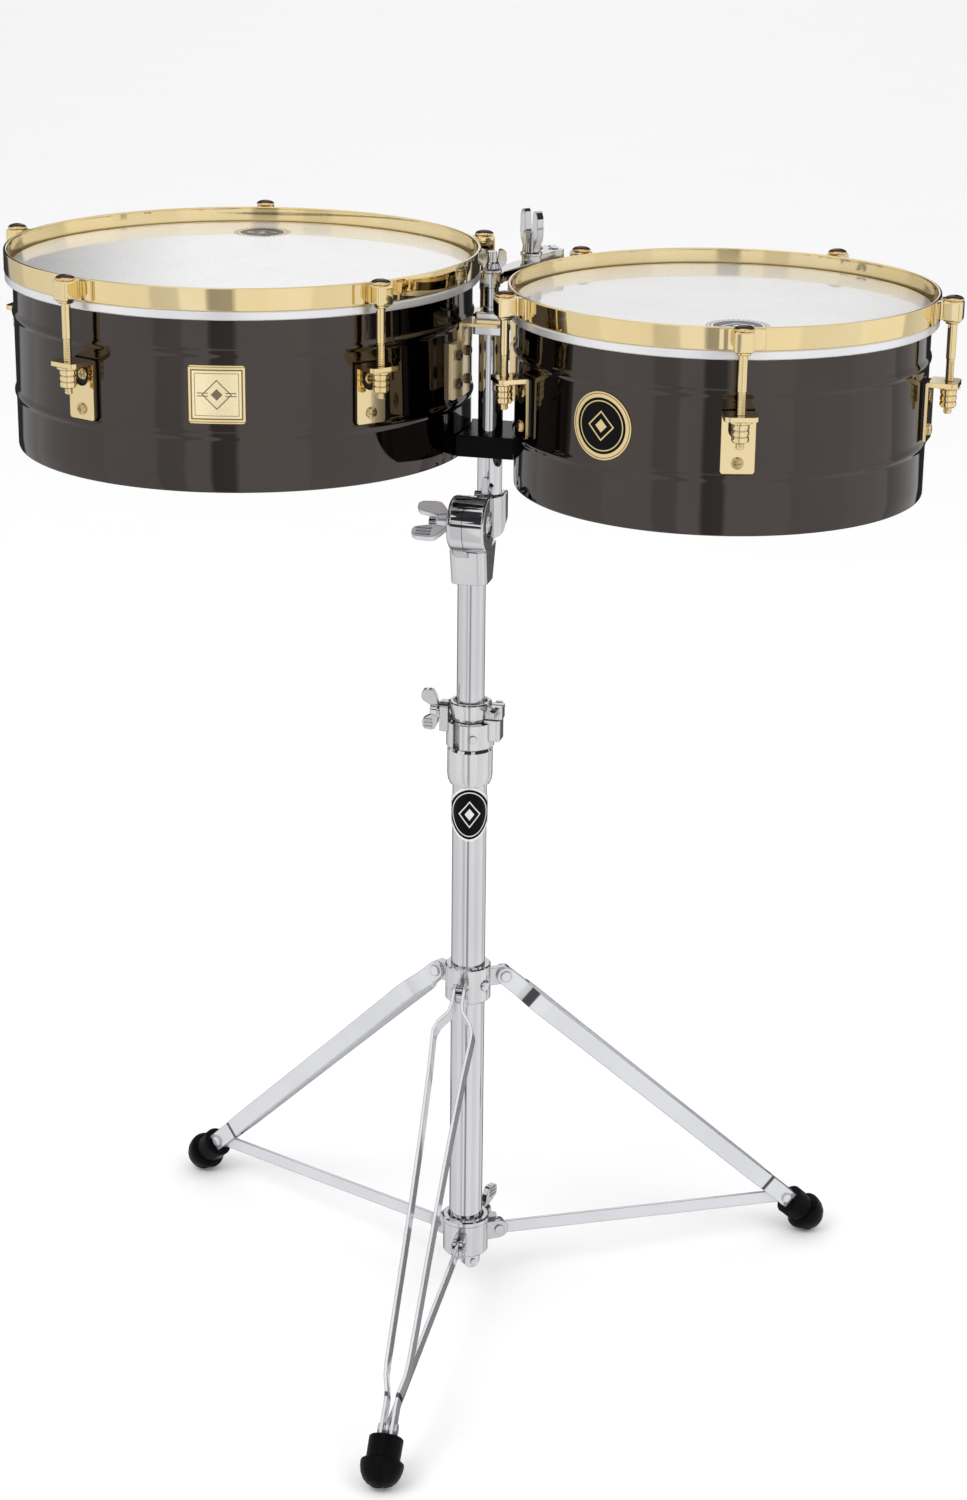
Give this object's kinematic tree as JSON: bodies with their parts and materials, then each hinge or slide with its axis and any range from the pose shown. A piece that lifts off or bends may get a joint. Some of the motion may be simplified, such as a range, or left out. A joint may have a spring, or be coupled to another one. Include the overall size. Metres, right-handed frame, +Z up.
{
  "type": "timbales on stand",
  "caption": "Pair of shallow metal-shelled drums side by side on a height-adjustable tilting tripod stand, with strap hoops, hook lugs and an accessory post clamp.",
  "frame": {"origin": "centre of the set's footprint box, on the floor", "axes": "+Z up, +X from the large drum to the small drum, -Y towards the audience side with the badges"},
  "size_m": [0.8676, 0.6098, 1.0381],
  "materials": {
    "black_nickel": "mirror-polished black nickel plate",
    "gold_plate": "polished pale gold plate",
    "chrome": "polished chrome plate",
    "aluminium": "satin",
    "head_film": "glossy translucent white polyester film",
    "black_nylon": "moulded black nylon",
    "gasket": "black fibre",
    "rubber": "moulded black rubber",
    "badge_gold": "satin gold with fine engraved border",
    "badge_black": "gloss black enamel with pale rim"
  },
  "bodies": {
    "stand_base": {"main_tube": "chrome", "tube_end_plug": "chrome", "stand_badge": "badge_black", "leg_collar": "chrome", "set_screws": "chrome", "height_clamp": "chrome", "clamp_bushing": "black_nylon"},
    "height_wing": {"height_wing_bolt": "chrome"},
    "leg_hub": {"leg_hub": "chrome", "hub_pivot_rivets": "chrome"},
    "hub_wing": {"hub_wing_bolt": "chrome"},
    "height_section": {"memory_lock": "chrome", "memory_lock_bolt": "chrome"},
    "upper_post": {"upper_tube": "chrome", "tilter_base": "chrome", "tilter_bolt": "chrome"},
    "tilter_wing": {"tilter_wing_nut": "chrome"},
    "tilter_head": {"tilter_head": "chrome", "tilter_key_screw": "chrome"},
    "mount": {"mount_rod": "chrome", "mount_block": "black_nylon", "mount_cap_plate": "chrome", "mount_stud": "chrome", "mount_sleeve": "chrome", "bell_arm": "chrome"},
    "mount_wing": {"mount_wing_nut": "chrome"},
    "bell_clamp": {"bell_post_clamp": "chrome"},
    "bell_swivel_screw": {"bell_swivel_screw": "chrome"},
    "bell_post_screw": {"bell_post_screw": "chrome"},
    "left_drum": {"left_shell": "black_nickel", "left_hoop": "gold_plate", "left_flesh_hoop": "aluminium", "left_drumhead": "head_film", "left_tension_rods": "gold_plate", "left_lug_nuts": "gold_plate", "left_lug_brackets": "gold_plate", "left_lug_gaskets": "gasket", "left_shell_screws": "gold_plate", "left_mount_bracket": "gold_plate", "left_badge": "badge_gold"},
    "right_drum": {"right_shell": "black_nickel", "right_hoop": "gold_plate", "right_flesh_hoop": "aluminium", "right_drumhead": "head_film", "right_tension_rods": "gold_plate", "right_lug_nuts": "gold_plate", "right_lug_brackets": "gold_plate", "right_lug_gaskets": "gasket", "right_shell_screws": "gold_plate", "right_mount_bracket": "gold_plate", "right_badge": "badge_gold"},
    "front_strut": {"front_strut": "chrome"},
    "front_leg": {"front_leg": "chrome", "front_foot": "rubber"},
    "right_strut": {"right_strut": "chrome"},
    "right_leg": {"right_leg": "chrome", "right_foot": "rubber"},
    "left_strut": {"left_strut": "chrome"},
    "left_leg": {"left_leg": "chrome", "left_foot": "rubber"}
  },
  "joints": [
    {"name": "leg_fold", "type": "slide", "parent": "stand_base", "child": "leg_hub", "axis": [0, 0, 1], "range_m": [0, 0.15974]},
    {"name": "front_strut_pivot", "type": "hinge", "parent": "leg_hub", "child": "front_strut", "pos_m": [0.00968, 0.0438, 0.055], "axis": [0.999, 0.0436, 0], "range_deg": [0, 81.46]},
    {"name": "front_leg_pivot", "type": "hinge", "parent": "front_strut", "child": "front_leg", "pos_m": [0.02303, -0.2619, 0.041], "axis": [0.999, 0.0436, 0], "range_deg": [-38.4, 0]},
    {"name": "right_strut_pivot", "type": "hinge", "parent": "leg_hub", "child": "right_strut", "pos_m": [0.03607, 0.09451, 0.055], "axis": [-0.5373, 0.8434, 0], "range_deg": [0, 81.46]},
    {"name": "right_leg_pivot", "type": "hinge", "parent": "right_strut", "child": "right_leg", "pos_m": [0.29415, 0.25892, 0.041], "axis": [-0.5373, 0.8434, 0], "range_deg": [-38.4, 0]},
    {"name": "left_strut_pivot", "type": "hinge", "parent": "leg_hub", "child": "left_strut", "pos_m": [-0.02103, 0.09201, 0.055], "axis": [-0.4617, -0.887, 0], "range_deg": [0, 81.46]},
    {"name": "left_leg_pivot", "type": "hinge", "parent": "left_strut", "child": "left_leg", "pos_m": [-0.29246, 0.23331, 0.041], "axis": [-0.4617, -0.887, 0], "range_deg": [-38.4, 0]},
    {"name": "hub_wing_turn", "type": "hinge", "parent": "leg_hub", "child": "hub_wing", "pos_m": [0.0206, 0.11482, 0.064], "axis": [0.309, 0.9511, 0], "continuous": true},
    {"name": "height_wing_turn", "type": "hinge", "parent": "stand_base", "child": "height_wing", "pos_m": [-0.01786, 0.07177, 0.59], "axis": [-1, 0, 0], "continuous": true},
    {"name": "stand_height", "type": "slide", "parent": "stand_base", "child": "height_section", "axis": [0, 0, 1], "range_m": [0, 0.22]},
    {"name": "stand_swivel", "type": "hinge", "parent": "height_section", "child": "upper_post", "pos_m": [0.00824, 0.07677, 0.6], "axis": [0, 0, 1], "continuous": true},
    {"name": "tilter_wing_turn", "type": "hinge", "parent": "upper_post", "child": "tilter_wing", "pos_m": [-0.00676, 0.04077, 0.7758], "axis": [-1, 0, 0], "continuous": true},
    {"name": "drum_tilt", "type": "hinge", "parent": "upper_post", "child": "tilter_head", "pos_m": [0.01424, 0.04077, 0.7758], "axis": [1, 0, 0], "range_deg": [-30, 15]},
    {"name": "mount_lift", "type": "slide", "parent": "tilter_head", "child": "mount", "axis": [0, 0, 1], "range_m": [0, 0.05]},
    {"name": "left_drum_slide", "type": "slide", "parent": "mount", "child": "left_drum", "axis": [-1, 0, 0], "range_m": [0, 0.06]},
    {"name": "right_drum_slide", "type": "slide", "parent": "mount", "child": "right_drum", "axis": [1, 0, 0], "range_m": [0, 0.06]},
    {"name": "mount_wing_turn", "type": "hinge", "parent": "mount", "child": "mount_wing", "pos_m": [0.02524, 0.07077, 1], "axis": [0, 0, 1], "continuous": true},
    {"name": "bell_clamp_swivel", "type": "hinge", "parent": "mount", "child": "bell_clamp", "pos_m": [0.04424, 0.14077, 0.992], "axis": [0, 0, 1], "range_deg": [-3, 25]},
    {"name": "bell_swivel_screw_turn", "type": "hinge", "parent": "mount", "child": "bell_swivel_screw", "pos_m": [0.04424, 0.14077, 1], "axis": [0, 0, 1], "continuous": true},
    {"name": "bell_post_screw_turn", "type": "hinge", "parent": "bell_clamp", "child": "bell_post_screw", "pos_m": [0.0492, 0.19002, 0.9908], "axis": [-0.8829, -0.4695, 0], "continuous": true}
  ],
  "couplings": [
    {"joint": "front_strut_pivot", "follows": "leg_fold", "rad_per_m": 8.8946},
    {"joint": "front_leg_pivot", "follows": "leg_fold", "rad_per_m": -4.1903},
    {"joint": "right_strut_pivot", "follows": "leg_fold", "rad_per_m": 8.8946},
    {"joint": "right_leg_pivot", "follows": "leg_fold", "rad_per_m": -4.1903},
    {"joint": "left_strut_pivot", "follows": "leg_fold", "rad_per_m": 8.8946},
    {"joint": "left_leg_pivot", "follows": "leg_fold", "rad_per_m": -4.1903}
  ]
}
